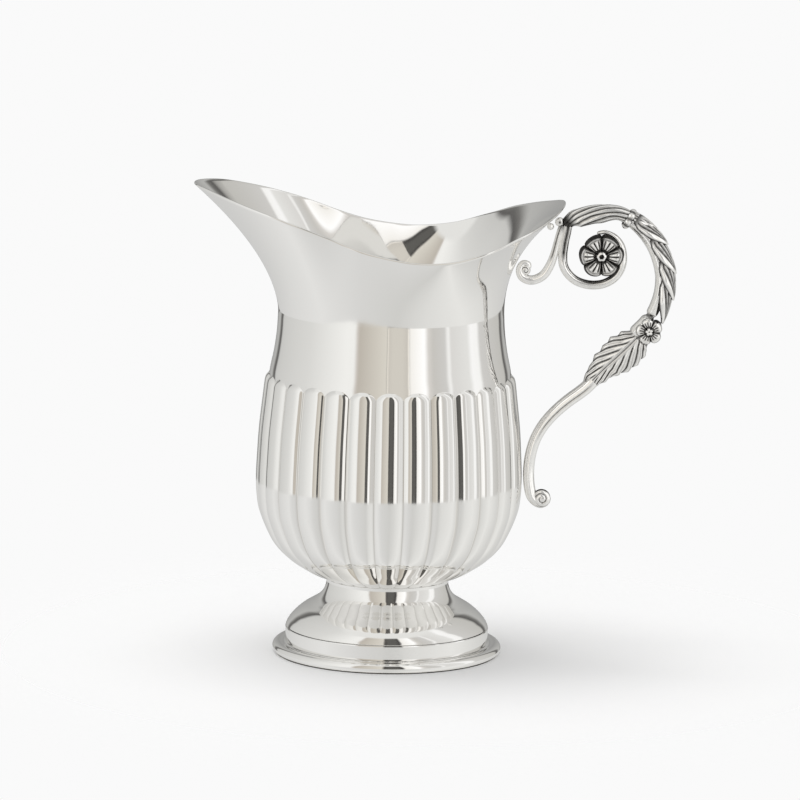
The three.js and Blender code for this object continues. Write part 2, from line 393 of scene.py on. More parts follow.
# The rows of the bowl's profile from the middle outside, over the shoulder, to the middle inside.
def bowlRows():
    lowRows, archRows, archStart = bowl["lowRows"], bowl["archRows"], bowl["archRowsFrom"]
    innerRows, floorRows = bowl["innerRows"], bowl["floorRows"]
    floorShares = [(i + 1) / (floorRows + 1) for i in range(floorRows)]
    shares = [archStart * i / lowRows for i in range(lowRows)]
    shares += [archStart + (1 - archStart) * i / (archRows - 1) for i in range(archRows)]
    radius, z = bowl["floorUnder"]
    rows = [("floor", radius * share, z + 0.6 * share ** 3) for share in floorShares]
    rows += [("outer", p.x, p.z) for p in (crestCurve.at(share) for share in shares)]
    for i in range(innerRows):
        share = 1 - i / (innerRows - 1)
        p, slope = crestCurve.at(share), crestCurve.along(share)
        rows.append(("inner", p.x - bowl["wall"] * slope.z,
                     p.z + bowl["wall"] * slope.x if i else p.z))
    radius, z = bowl["floorInside"]
    rows += [("floor", radius * share, z + 0.3 * share) for share in reversed(floorShares)]
    return rows


# One lobe from groove to groove, with the bowl's axis at x = 0.
def lobeMesh():
    rows = bowlRows()
    steps = bowl["stepsPerLobe"]
    vertices = []
    recess = []
    for kind, radius, z in rows:
        for step in range(steps + 1):
            phase = math.sin(math.pi * (step / steps - 0.5))
            azimuth = math.pi * phase / bowl["lobes"]
            depth = 0.0
            reach = radius
            if kind == "outer":
                reach = lobedRadius(phase, radius, z)
                # Painted shade along each groove, also standing for tarnish there; it fades out
                # over the arches.
                depth = bowl["grooveShadeAndTarnish"] * bump(1 - abs(phase), 0.07)
                depth *= 1 - smooth((z - bowl["archCentreZ"]) / bowl["archHeight"])
            elif kind == "inner":
                reach = lobedRadius(phase, radius + bowl["wall"], z) - bowl["wall"]
            vertices.append([v * millimetre for v in (*onCircle(reach, azimuth), z)])
            recess.append(depth)
    faces = []
    wide = steps + 1
    for row in range(len(rows) - 1):
        for step in range(steps):
            here = row * wide + step
            faces.append((here, here + 1, here + wide + 1, here + wide))
    for first, flip in ((0, True), ((len(rows) - 1) * wide, False)):
        pole = len(vertices)
        vertices.append((0.0, 0.0, vertices[first][2]))
        recess.append(0.0)
        for step in range(steps):
            here, there = first + step, first + step + 1
            faces.append((pole, there, here) if flip else (pole, here, there))
    return plainMesh("lobe", vertices, faces, recess)


# Geometry Nodes that repeat one sector all the way round an upright axis and weld the copies.
def makeRoundRepeat():
    tree = bpy.data.node_groups.new("repeat_round_axis", "GeometryNodeTree")
    sockets = {}
    for name, kind in (("Sector", "Geometry"), ("Count", "Int"), ("Axis", "Vector"),
                       ("Weld", "Float"), ("Finish", "Material")):
        socket = tree.interface.new_socket(name, in_out="INPUT", socket_type=f"NodeSocket{kind}")
        sockets[name] = socket.identifier
    tree.interface.new_socket("Geometry", in_out="OUTPUT", socket_type="NodeSocketGeometry")
    given = addNode(tree, "NodeGroupInput").outputs
    points = addNode(tree, "GeometryNodePoints", {}, {"Count": given["Count"],
                                                      "Position": given["Axis"]})
    index = addNode(tree, "GeometryNodeInputIndex").outputs["Index"]
    step = addNode(tree, "ShaderNodeMath", {"operation": "DIVIDE", 0: 2 * math.pi},
                   {1: given["Count"]})
    turn = addNode(tree, "ShaderNodeMath", {"operation": "MULTIPLY"},
                   {0: index, 1: step.outputs["Value"]})
    upright = addNode(tree, "ShaderNodeCombineXYZ", {}, {"Z": turn.outputs["Value"]})
    rotation = addNode(tree, "FunctionNodeEulerToRotation", {},
                       {"Euler": upright.outputs["Vector"]})
    copies = addNode(tree, "GeometryNodeInstanceOnPoints", {},
                     {"Points": points.outputs["Points"], "Instance": given["Sector"],
                      "Rotation": rotation.outputs["Rotation"]})
    real = addNode(tree, "GeometryNodeRealizeInstances", {},
                   {"Geometry": copies.outputs["Instances"]})
    welded = addNode(tree, "GeometryNodeMergeByDistance", {},
                     {"Geometry": real.outputs["Geometry"], "Distance": given["Weld"]})
    finished = addNode(tree, "GeometryNodeSetMaterial", {},
                       {"Geometry": welded.outputs["Geometry"], "Material": given["Finish"]})
    addNode(tree, "NodeGroupOutput", {}, {"Geometry": finished.outputs["Geometry"]})
    return tree, sockets


def makeBowl():
    sector = bpy.data.objects.new("lobe", lobeMesh())
    bpy.context.scene.collection.objects.link(sector)
    tree, sockets = makeRoundRepeat()
    repeat = sector.modifiers.new("lobes", "NODES")
    repeat.node_group = tree
    repeat[sockets["Count"]] = bowl["lobes"]
    repeat[sockets["Axis"]] = (axisX, 0.0, 0.0)
    repeat[sockets["Weld"]] = bowl["weld"]
    repeat[sockets["Finish"]] = polishedSilver
    evaluated = sector.evaluated_get(bpy.context.evaluated_depsgraph_get())
    mesh = bpy.data.meshes.new_from_object(evaluated)
    sector.modifiers.remove(repeat)
    bpy.data.objects.remove(sector)
    return adoptMesh("bowl", mesh, polishedSilver, ["fluted_bowl"], 60)


makeBowl()
print("bowl made")

# Neck, mouth and spout

neck = {
    "waistZ": 158,
    "waistRadius": 51.5,
    "wall": 1.1,
    "columns": 288,
    "lowRows": 30,
    "highRows": 56,
    "edgeRows": 5,
    "edgeStart": 0.985,
    "lowSlope": 0.1,
    "slopeStep": 0.02,
    "flare": 1.95,
    "flareVariation": 0.25,
    "skinWall": 0.4,
    "skinTopZ": 126,
    "skinBlend": 6,
}
rimHalf = [
    (0, 79.4, 209.5), (20, 78, 206), (40, 76.5, 200.3), (53, 73.6, 194.6), (64, 67, 190.3),
    (77, 60.2, 189), (90, 55.4, 190.4), (105, 53.6, 193.4), (120, 55.4, 198.2), (135, 65, 204.5),
    (150, 75.5, 210.3), (165, 84.6, 214.8), (180, 91.2, 216.5)]
# The neck's skin reaches down between the arches, thinner there than above.
lowNeck = Curve([(55.4, 0, 121.6), (55.28, 0, 126.6), (54.9, 0, 131.6), (53.2, 0, 140),
                 (52, 0, 149), (51.5, 0, 158)])


# The rim's radius and height, eased between the stations; the back half mirrors the front.
def rimAt(azimuth):
    degrees = math.degrees(math.acos(clamp(math.cos(azimuth), -1, 1)))
    first, last = rimHalf[1], rimHalf[-2]
    allRound = [(-first[0], *first[1:]), *rimHalf, (360 - last[0], *last[1:])]
    index = 1
    while index < len(allRound) - 3 and allRound[index + 1][0] < degrees:
        index += 1
    before, here, there, beyond = allRound[index - 1:index + 3]
    share = (degrees - here[0]) / (there[0] - here[0])
    span = there[0] - here[0]
    values = []
    for k in (1, 2):
        slopeHere = (there[k] - before[k]) / (there[0] - before[0])
        slopeThere = (beyond[k] - here[k]) / (beyond[0] - here[0])
        square, cube = share ** 2, share ** 3
        values.append((2 * cube - 3 * square + 1) * here[k]
                      + (cube - 2 * square + share) * span * slopeHere
                      + (3 * square - 2 * cube) * there[k] + (cube - square) * span * slopeThere)
    return values


def neckSurface(azimuth, share):
    rimRadius, rimZ = rimAt(azimuth)
    sharpness = neck["flare"] + neck["flareVariation"] * math.cos(azimuth)
    radius = neck["waistRadius"] + (rimRadius - neck["waistRadius"]) * share ** sharpness
    return radius, neck["waistZ"] + (rimZ - neck["waistZ"]) * share


def makeNeck():
    wall = neck["wall"]
    outer = [("low", i / neck["lowRows"]) for i in range(neck["lowRows"])]
    outer += [("high", i / neck["highRows"]) for i in range(neck["highRows"] + 1)]
    edge = [("edge", (i + 1) / (neck["edgeRows"] + 1)) for i in range(neck["edgeRows"])]
    rows = outer + edge + [(kind + "Inside", share) for kind, share in reversed(outer)]

    def place(row, column):
        kind, share = rows[row]
        azimuth = 2 * math.pi * column / neck["columns"]
        if kind.startswith("low"):
            point = lowNeck.at(share)
            radius, z = point.x, point.z
            slope = neck["lowSlope"]
        else:
            level = neck["edgeStart"] * (1.0 if kind == "edge" else share)
            radius, z = neckSurface(azimuth, level)
            lower = neckSurface(azimuth, max(0.0, level - neck["slopeStep"]))
            upper = neckSurface(azimuth, min(1.0, level + neck["slopeStep"]))
            slope = (upper[0] - lower[0]) / (upper[1] - lower[1])
        steep = math.hypot(1, slope)
        if kind.endswith("Inside"):
            above = smooth((z - neck["skinTopZ"]) / neck["skinBlend"])
            thickness = mix(neck["skinWall"], wall, above)
            radius, z = radius - thickness / steep, z + thickness * slope / steep
        if kind == "lowInside":
            z = point.z
        if kind == "edge":
            turn = math.pi * share
            out, up = wall / 2 / steep, wall / 2 * slope / steep
            radius += out * (math.cos(turn) - 1) + up * math.sin(turn)
            z += up * (1 - math.cos(turn)) + out * math.sin(turn)
        return (*onCircle(radius, azimuth), z, 0.0)

    return ringMesh("neck_and_spout", len(rows), neck["columns"], place, polishedSilver,
                    ["neck_and_spout"], loop=True, sharpAngle=60)


neckPiece = makeNeck()
print("neck made")

# Foot


def turnedRing(name, outline, nodes):
    def place(row, column):
        radius, z = outline[row]
        return (*onCircle(radius, 2 * math.pi * column / foot["columns"]), z, 0.0)
    ringMesh(name, len(outline), foot["columns"], place, polishedSilver, nodes,
             loop=True, sharpAngle=50)


def sampled(points, count):
    curve = Curve([(r, 0, z) for r, z in points])
    return [(p.x, p.z) for p in (curve.at(i / (count - 1)) for i in range(count))]


foot = {
    "columns": 240,
    "bandRadius": 46.5,
    "bandInside": 44.8,
    "bandLowZ": 5.0,
    "bandHighZ": 12.0,
    "baseRound": (49.6, 2.45),
    "baseRoundSize": (2.8, 2.45),
}
trumpetOuter = sampled([(28, 34.4), (28, 32.6), (28.3, 30.6), (29.4, 28), (31.6, 25.5),
                        (34.9, 23.3), (38.7, 21), (41.9, 18.4), (44.3, 15.8), (45.6, 13.9),
                        (46.3, 12.3)], 90)
trumpetInner = sampled([(44.9, 12.3), (44.3, 13.4), (43.2, 15), (41, 17.4), (38, 19.8),
                        (34.2, 22.2), (30.8, 24.5), (28.3, 27.3), (27, 30.3), (26.7, 32.5),
                        (26.8, 34.2)], 50)
turnedRing("foot_trumpet", trumpetOuter + trumpetInner, ["foot_trumpet"])


def makeBand():
    radius, inside = foot["bandRadius"], foot["bandInside"]
    low, high = foot["bandLowZ"], foot["bandHighZ"]
    wallRows = 12
    outline = [(radius - 0.45, high), (radius - 0.1, high - 0.12), (radius, high - 0.4)]
    outline += [(radius, mix(high - 0.6, low + 0.3, i / (wallRows - 1))) for i in range(wallRows)]
    outline += [(radius, low), (inside, low), (inside, high)]
    turnedRing("foot_band", outline, ["foot_band"])


def makeMoulding():
    (middle, middleZ), (reach, rise) = foot["baseRound"], foot["baseRoundSize"]
    cove = sampled([(46.5, 4.9), (47, 4.55), (47.6, 4.5), (48.2, 4.62)], 10)
    turn = [math.radians(100 - 8 * i) for i in range(23)]
    rounded = [(middle + reach * math.cos(a), middleZ + rise * math.sin(a)) for a in turn]
    under = [(51.2, 0.02), (50.8, 0), (47.4, 0), (46.6, 0.4), (46, 1.6), (44.8, 3.4), (44.8, 4.9)]
    turnedRing("foot_moulding", cove + rounded + under, ["foot_base_moulding"])


makeBand()
makeMoulding()
print("foot made")

# Handle: everything lies along curves in the plane y = 0.


def inPlane(points):
    return Curve([(x, 0, z) for x, z in points])


# Precomputed places and directions, so that a fine mesh stays quick to make.
def stations(curve, count, start=0.0, end=1.0):
    shares = [mix(start, end, i / (count - 1)) for i in range(count)]
    return [(curve.at(share), curve.along(share)) for share in shares]


def beside(station, across, sideways):
    point, along = station
    return point.x - along.z * across, sideways, point.z + along.x * across


# A bar along a curve; section(share, angle) gives its radius and how deep in a recess it is.
# The angle is 0 on the left of the way along and a quarter turn towards the front.
def makeBar(name, curve, rows, columns, section, nodes):
    places = stations(curve, rows)

    def place(row, column):
        angle = 2 * math.pi * column / columns
        share = row / (rows - 1)
        radius, depth = section(share, angle)
        x, y, z = beside(places[row], radius * math.cos(angle), -radius * math.sin(angle))
        return x, y, z, depth

    ringMesh(name, rows, columns, place, oxidisedSilver, nodes, sharpAngle=50)


def fromLeft(angle):
    return abs(math.atan2(math.sin(angle), math.cos(angle)))


# Rounds a bar's two ends over a short length.
def roundEnds(share, length, startLength, endLength):
    start = clamp(share * length / startLength) if startLength else 1
    end = clamp((1 - share) * length / endLength) if endLength else 1
    return math.sqrt(max(1e-4, 1 - (1 - start) ** 2)) * math.sqrt(max(1e-4, 1 - (1 - end) ** 2))


arc = {
    "barRadius": 2.7,
    "reedRadius": 3.25,
    "reedShift": 0.6,
    "reedEnd": 0.365,
    "reedPitch": math.radians(36),
    "reedTwist": 4.63,
    "reedDepth": 0.6,
    "reedWidth": math.radians(8),
    "lowerLeaf": 2.3,
}
arcPoints = [
    (78.2, 198.4), (83.2, 202), (88.6, 203.7), (93.5, 204.5), (98.8, 204.6), (104, 203.5),
    (109.5, 200.3), (114.5, 195.4), (118.6, 189.4), (121.3, 182.6), (122.6, 176),
    (122.3, 169.4), (120.8, 163.6), (118.6, 158.6)]
arcCurve = inPlane(arcPoints + [(116.2, 154.8), (113, 151.4), (110, 148.4)])
# Places along the arc count from the rim to the flower; the bar goes on under the broad leaf.
arcScale = inPlane(arcPoints + [(116.6, 155.4)]).length / arcCurve.length


def makeArc():
    def section(share, angle):
        place = share / arcScale
        side = fromLeft(angle)
        reeded = 1 - smooth((place - arc["reedEnd"]) / 0.02)
        phase = (side + arc["reedTwist"] * place - math.radians(107)) / arc["reedPitch"]
        toGroove = (phase - round(phase)) * arc["reedPitch"]
        groove = bump(toGroove, arc["reedWidth"]) * reeded
        radius = mix(arc["barRadius"], arc["reedRadius"] + 0.35 * math.cos(side), reeded)
        radius += reeded * arc["reedShift"] * math.cos(side) * smooth(place / 0.08)
        radius += 0.25 * (1 - reeded) * bump(side - math.radians(108), 0.12)
        inner = smooth(-math.cos(side) * 1.2)
        leaf = smooth((place - 0.03) / 0.06) * (1 - smooth((place - 0.2) / 0.13))
        radius += arc["lowerLeaf"] * inner * leaf
        radius *= mix(0.85, 1, smooth(place / 0.08))
        calyx = smooth((place - 0.955) / 0.05)
        radius += 0.6 * calyx
        radius -= arc["reedDepth"] * groove
        crease = bump(place - 0.968, 0.012)
        radius -= 0.9 * crease
        ends = roundEnds(share, arcCurve.length, 2.0, 3.0)
        # Dark in the reeds' grooves and the crease at the calyx, darker on the plain bar's inner
        # side, and nearly black where the arc leaves the rim.
        depth = max(groove, crease * 0.8, 0.35 * bump(side - math.pi, 0.5) * (1 - reeded),
                    0.95 * (1 - smooth((place - 0.03) / 0.05)))
        return radius * ends, depth
    makeBar("handle_arc", arcCurve, 330, 96, section,
            ["handle_arc", "upper_leaf_1", "upper_leaf_2"])


# A laurel leaf lies on the arc's outer side like a saddle, its point lifted off the next one.
laurel = {
    "spans": [(0.372, 0.49), (0.40, 0.594), (0.53, 0.734), (0.655, 0.852), (0.75, 0.972)],
    "wrap": [1.3, 1.85, 1.85, 1.85, 1.85],
    "tip": [6.4, 7.2, 7.3, 7.3, 7.0],
    "root": [4.8, 5.3, 5.7, 5.9, 5.5],
    "rows": 70,
    "halfColumns": 44,
}


def makeLaurelLeaf(index):
    start, end = laurel["spans"][index]
    wrap = laurel["wrap"][index]
    rows, half = laurel["rows"], laurel["halfColumns"]
    places = stations(arcCurve, rows, start * arcScale, end * arcScale)

    def place(row, column):
        share = row / (rows - 1)
        top = column < half
        across = -1 + 2 * (column + 0.5) / half if top else 1 - 2 * (column - half + 0.5) / half
        width = wrap * min(1.0, 0.8 + share) * max(0.0, 1 - share ** 2.3) ** 0.85
        angle = width * across
        crest = mix(laurel["root"][index], laurel["tip"][index], smooth(share) * 0.6 + 0.4 * share)
        side = mix(3.4, laurel["tip"][index] - 0.9, share ** 1.8)
        outer = mix(crest, side, abs(across) ** 1.7)
        if top:
            midrib = bump(across, 0.07)
            spread = 1 - 0.55 * share
            veins = max(bump(abs(across) - k * spread, 0.08) for k in (0.2, 0.46, 0.72))
            fade = smooth(share / 0.1) * smooth((1 - share) / 0.12)
            edge = smooth((abs(across) - 0.84) / 0.12)
            distance = outer + 0.25 * midrib * fade - 0.6 * veins * fade - 0.5 * edge
            # The root of each leaf is darkened as painted shade under the point of the leaf before
            # it, or under the collar for the first; the veins and edges are dark with oxide.
            depth = max(veins * fade, 0.9 * (1 - smooth(share / 0.2)), edge)
        else:
            thickness = mix(1.6, 0.45, share) * (1 - 0.7 * abs(across) ** 2)
            distance, depth = max(2.4, outer - thickness), 0.9
        x, y, z = beside(places[row], distance * math.cos(angle), -distance * math.sin(angle))
        return x, y, z, depth

    ringMesh(f"laurel_leaf_{index + 1}", rows, 2 * half, place, oxidisedSilver,
             [f"laurel_leaf_{index + 1}"])


# The ribbon that binds the arc: low knops round it, dark between them and at its rims.
collar = {"place": 0.371, "knops": 7, "distance": 3.3, "height": 1.1, "knopHeight": 0.75,
          "halfWidth": 1.75}


def makeCollar():
    share = collar["place"] * arcScale
    centre, along = arcCurve.at(share), arcCurve.along(share)
    rows, columns = 26, 120

    def place(row, column):
        angle = 2 * math.pi * column / columns
        turn = 2 * math.pi * row / rows
        knop = 0.5 + 0.5 * math.cos(collar["knops"] * angle)
        height = collar["height"] + collar["knopHeight"] * knop
        middle = collar["distance"] + 0.45 * math.cos(angle)
        across = middle + height * math.cos(turn)
        shift = collar["halfWidth"] * math.sin(turn) * (0.85 + 0.15 * knop)
        x = centre.x - along.z * across * math.cos(angle) + along.x * shift
        z = centre.z + along.x * across * math.cos(angle) + along.z * shift
        depth = max(0.9 * (1 - knop) ** 2, smooth((abs(math.sin(turn)) - 0.8) / 0.2))
        return x, -across * math.sin(angle), z, depth

    ringMesh("handle_collar", rows, columns, place, oxidisedSilver,
             ["handle_collar"], loop=True)


# The strands: the coil round the rosette, the brace against the neck and the lower stem. Each
# goes from one radius to another and narrows to its tip.
coil = {"radii": (2.15, 1.95), "narrowsFrom": 0.72, "tip": 0.45, "hollow": 0.55, "line": 0.12}
brace = {"radii": (1.65, 2.15), "narrowsFrom": 0.7, "tip": 0.55, "hollow": 0.4}
stem = {"radii": (3.05, 2.55), "narrowsFrom": 0.78, "tip": 0.5, "groove": 0.45}
coilCurve = inPlane([
    (79.9, 199.6), (79.2, 195.4), (78.2, 190), (77.7, 184.6), (78.2, 180.2), (80.4, 176.4),
    (84.4, 173.2), (90.2, 171.6), (96.4, 172.2), (101.5, 175.2), (104.4, 179.9), (105, 185.4),
    (104, 190.2), (101.2, 193.9), (97, 195.9), (93, 195.4)])
braceCurve = inPlane([
    (77.6, 199.4), (76.3, 195.6), (75, 190.6), (73.6, 184.8), (71.6, 179.6), (68.6, 175.4),
    (63.8, 173.4), (59.6, 174.8), (58.2, 178.2), (59.6, 181), (62, 180.8), (62.3, 178.6)])


def strandRadius(strand, share, along):
    start = strand["narrowsFrom"]
    narrowed = mix(1, strand["tip"], smooth((share - start) / (1 - start)))
    return mix(*strand["radii"], along) * narrowed


def makeCoil():
    def section(share, angle):
        side = fromLeft(angle)
        upper = 1 - smooth((share - 0.17) / 0.08)
        hollow = bump(side - math.radians(82), 0.5) * upper
        inner = bump(side - math.radians(52), 0.1) * (1 - upper)
        radius = strandRadius(coil, share, share) - coil["hollow"] * hollow - coil["line"] * inner
        shaded = bump(side, 1.0) * smooth((share - 0.3) / 0.15)
        return radius * roundEnds(share, coilCurve.length, 1.5, 1.2), max(hollow, 0.95 * shaded)
    makeBar("scroll_coil", coilCurve, 260, 56, section, ["scroll_strand"])


def makeBrace():
    def section(share, angle):
        side = fromLeft(angle)
        upper = 1 - smooth((share - 0.3) / 0.1)
        hollow = bump(side - math.radians(120), 0.25) * upper
        radius = strandRadius(brace, share, smooth((share - 0.15) / 0.4))
        radius -= brace["hollow"] * hollow
        dark = 0.85 * bump(share, 0.06)
        return radius * roundEnds(share, braceCurve.length, 1.2, 0.8), max(hollow * 0.9, dark)
    makeBar("neck_brace", braceCurve, 200, 48, section, ["neck_bracket"])


stemCurve = inPlane([
    (92.6, 127.4), (88.4, 123.2), (80.6, 117.2), (74.6, 111.6), (69.8, 105.6), (66.4, 99),
    (64.5, 91.6), (63.9, 84.6), (64.3, 78), (65.9, 72.6), (69.4, 69.8), (72.4, 71.2), (72.2, 73.8),
    (70.2, 74.2), (69.4, 72.8)])


def makeStem():
    def section(share, angle):
        side = fromLeft(angle)
        upper = 1 - smooth((share - 0.36) / 0.14)
        groove = bump(side - math.radians(78), 0.13) * upper * smooth(share / 0.06)
        radius = strandRadius(stem, share, smooth(share / 0.6)) - stem["groove"] * groove
        return radius * roundEnds(share, stemCurve.length, 0, 0.8), groove * 0.75
    makeBar("lower_stem", stemCurve, 320, 64, section, ["lower_stem"])


# A round ornament on one side of the handle: profile(radius share, angle) gives how far it
# stands out and how deep in a recess it is, and rim(angle) gives its outline's radius.
def makeMedallion(name, centre, faceY, side, rim, profile, rings, columns, nodes):
    def place(row, column):
        angle = 2 * math.pi * column / columns
        if row < rings:
            share = (row + 0.5) / rings
            rise, depth = profile(share, angle)
        else:
            share = 1 - (row - rings) * 0.18
            rise, depth = 0.0, 0.9
        x, z = onCircle(rim(angle) * share, angle, centre)
        return x, side * (faceY + rise), z, depth

    ringMesh(name, rings + 4, columns, place, oxidisedSilver, nodes)


def petalPattern(count, angle, offset):
    phase = (angle - offset) * count / (2 * math.pi)
    return 2 * (phase - round(phase))


rosette = {"centre": (95.3, 185.2), "radius": 10.4, "petals": 6, "offset": 0.0, "faceY": 1.5}
flower = {"centre": (117.6, 150.9), "radius": 6.1, "petals": 5, "offset": 1.75, "faceY": 3.1}


def rosetteRim(angle):
    across = petalPattern(rosette["petals"], angle, rosette["offset"])
    uneven = 1 + 0.03 * math.sin(2 * angle + 0.7) + 0.02 * math.sin(5 * angle)
    return rosette["radius"] * (0.86 + 0.14 * math.sqrt(max(0.0, 1 - across ** 2))) * uneven * 0.97


def rosetteProfile(share, angle):
    across = petalPattern(rosette["petals"], angle, rosette["offset"])
    parting = bump(1 - abs(across), 0.2) * smooth((share - 0.25) / 0.1)
    bossEdge = bump(share - 0.29, 0.05)
    boss = 1 - smooth((share - 0.2) / 0.09)
    grooves = max(bump(across - k, 0.11) for k in (-0.58, 0.0, 0.58))
    grooves *= smooth((share - 0.31) / 0.05) * (1 - smooth((share - 0.72) / 0.14))
    belly = math.sin(math.pi * clamp((share - 0.25) / 0.8)) ** 0.8
    rise = 1.5 + 2.5 * belly * (1 - 0.45 * abs(across) ** 2) + 0.7 * smooth((share - 0.8) / 0.1)
    rise *= 1 - 0.75 * smooth((share - 0.9) / 0.1)
    rise = mix(rise, 3.6 - 3.0 * share, boss)
    rise -= 1.3 * parting + 0.75 * grooves + 0.9 * bossEdge
    hole = 1 - smooth((share - 0.07) / 0.05)
    rise -= 1.6 * hole
    lip = bump(share - 0.82, 0.05) * 0.45
    return max(rise, 0.05), clamp(max(parting, grooves, bossEdge, hole, lip * 1.6,
                                      smooth((share - 0.85) / 0.08)))


def flowerRim(angle):
    across = petalPattern(flower["petals"], angle, flower["offset"])
    return flower["radius"] * (0.7 + 0.32 * math.sqrt(max(0.0, 1 - across ** 2)))


def flowerProfile(share, angle):
    across = petalPattern(flower["petals"], angle, flower["offset"])
    parting = bump(1 - abs(across), 0.2) * smooth((share - 0.2) / 0.1)
    ringGroove = bump(share - 0.35, 0.07)
    grooves = max(bump(across - k, 0.15) for k in (-0.5, 0.0, 0.5))
    grooves *= smooth((share - 0.35) / 0.05) * (1 - smooth((share - 0.66) / 0.14))
    bead = math.sqrt(max(0.0, 1 - (share / 0.3) ** 2))
    rise = 0.9 + 0.9 * math.sin(math.pi * clamp(share)) * (1 - 0.35 * across ** 2)
    rise *= 1 - 0.7 * smooth((share - 0.88) / 0.12)
    rise += 1.1 * bead - 0.7 * parting - 0.45 * grooves - 0.5 * ringGroove
    pin = bump(share, 0.06)
    return max(rise - 0.4 * pin, 0.05), clamp(max(parting, grooves, ringGroove, 0.7 * pin,
                                                  0.7 * smooth((share - 0.92) / 0.08)))


def makeMedallions():
    for suffix, side in (("front", -1), ("back", 1)):
        makeMedallion(f"rosette_{suffix}", rosette["centre"], rosette["faceY"], side, rosetteRim,
                      rosetteProfile, 64, 216,
                      [f"rosette_{suffix}", f"rosette_boss_{suffix}"])
        makeMedallion(f"flower_{suffix}", flower["centre"], flower["faceY"], side, flowerRim,
                      flowerProfile, 44, 160,
                      [f"flower_{suffix}", f"flower_bead_{suffix}"])


def makeRosetteCore():
    outline = [(7.4, -1.8), (8.2, -1.2), (8.4, 0), (8.2, 1.2), (7.4, 1.8)]

    def place(row, column):
        radius, y = outline[row]
        x, z = onCircle(radius, 2 * math.pi * column / 72, rosette["centre"])
        return x, y, z, 0.85
    ringMesh("rosette_core", len(outline), 72, place, oxidisedSilver,
             ["rosette_core"])


# The broad leaf: a midrib with veins that curve away to a scalloped edge.
broadLeaf = {
    "upper": [(0, 6.6), (0.08, 8.6), (0.18, 9.8), (0.36, 9.7), (0.53, 7.9), (0.63, 5.9),
              (0.73, 5.3), (0.84, 4.2), (0.93, 2.8), (1, 0.6)],
    "lower": [(0, 4.4), (0.15, 7.1), (0.3, 8.6), (0.57, 7.6), (0.83, 4.9), (0.94, 3.0), (1, 0.8)],
    "thickness": 3.7,
    "veins": 6.3,
    "sweep": 0.52,
    "sweepPower": 0.72,
}
leafCurve = inPlane([(112.8, 148.6), (106, 141.6), (98.6, 134.4), (92.6, 128.2), (89.2, 123.8)])


def makeBroadLeaf():
    rows, columns = 150, 176
    places = stations(leafCurve, rows)

    def place(row, column):
        angle = 2 * math.pi * column / columns
        share = row / (rows - 1)
        across = math.cos(angle)
        table = broadLeaf["upper"] if across < 0 else broadLeaf["lower"]
        width = ramp(table, share)
        outward = abs(across)
        swept = share - broadLeaf["sweep"] * outward ** broadLeaf["sweepPower"]
        vein = swept * broadLeaf["veins"]
        toVein = abs(vein - round(vein))
        groove = bump(toVein, 0.17) * smooth((outward - 0.1) / 0.12)
        groove = max(groove, 0.45 * bump(toVein - 0.5, 0.09) * smooth((outward - 0.3) / 0.2))
        scallop = 0.12 * (1 - 2 * toVein) * smooth((outward - 0.7) / 0.3)
        midrib = bump(across, 0.045)
        flank = bump(outward - 0.1, 0.035)
        body = math.sin(angle)
        thick = broadLeaf["thickness"] * mix(0.85, 0.75, share) * roundEnds(share, 34.5, 2.0, 4.0)
        y = -math.copysign(abs(body) ** 0.75, body) * thick
        y *= 1 - 0.24 * groove
        if abs(body) > 0.5:
            y += math.copysign(0.35 * midrib, body)
        reach = width * across * (1 - scallop)
        x, _, z = beside(places[row], -reach, 0)
        tip = smooth((share - 0.82) / 0.1) * bump(outward - 0.62, 0.12)
        depth = clamp(max(groove, 0.9 * midrib, 0.35 * flank, 0.6 * tip,
                          0.8 * smooth((outward - 0.97) / 0.03), 0.8 * bump(share, 0.03)))
        return x, y, z, depth

    ringMesh("acanthus_leaf", rows, columns, place, oxidisedSilver,
             ["acanthus_leaf"])


# Small domed buttons at the eyes of the scrolls, and the bead and knop under the rim.
buttons = {
    "volute_eye": {"node": "volute_eye", "centre": (70, 72.3), "radius": 4.1, "faceY": 1.4,
                   "pit": 0.5},
    "brace_eye": {"node": "bracket_eye", "centre": (60.8, 178.0), "radius": 2.3, "faceY": 0.6,
                  "pit": 0.4},
}
buttonHeight = 1.5
beads = {
    "thumb_bead": {"centre": (76, 200.4), "radius": 2.15, "pit": 0.5},
    "rim_knop": {"centre": (71.9, 198.2), "radius": 1.6, "pit": 0.0},
}


def makeButton(name, suffix, side):
    button = buttons[name]

    def rim(angle):
        return button["radius"]

    def profile(share, angle):
        turn = angle / (2 * math.pi)
        toGroove = abs(share * 2 - turn - round(share * 2 - turn))
        fade = smooth((share - 0.15) / 0.1) * (1 - smooth((share - 0.85) / 0.1))
        groove = bump(toGroove, 0.16) * fade
        rise = buttonHeight * math.sqrt(max(0.0, 1 - share ** 2)) - button["pit"] * groove
        return max(rise, 0.02), 0.7 * groove + 0.5 * smooth((share - 0.95) / 0.05)

    makeMedallion(f"{name}_{suffix}", button["centre"], button["faceY"], side, rim, profile, 16, 48,
                  [f"{button['node']}_{suffix}"])


def makeBead(name):
    bead = beads[name]
    rows, columns = 36, 48

    def place(row, column):
        angle = 2 * math.pi * column / columns
        tilt = math.pi * (row + 0.5) / rows
        atEnd = bump(tilt, 0.3) + bump(math.pi - tilt, 0.3)
        x, z = onCircle(bead["radius"] * math.sin(tilt), angle, bead["centre"])
        y = -(bead["radius"] - bead["pit"] * atEnd) * math.cos(tilt)
        return x, y, z, clamp(atEnd) if bead["pit"] else 0.0

    ringMesh(name, rows, columns, place, oxidisedSilver, [name])


firstHandlePiece = len(pieces)
makeArc()
for leafIndex in range(len(laurel["spans"])):
    makeLaurelLeaf(leafIndex)
makeCollar()
makeCoil()
makeBrace()
makeStem()
makeMedallions()
makeRosetteCore()
makeBroadLeaf()
for suffix, side in (("front", -1), ("back", 1)):
    for name in buttons:
        makeButton(name, suffix, side)
for name in beads:
    makeBead(name)
print("handle made")

# Studio

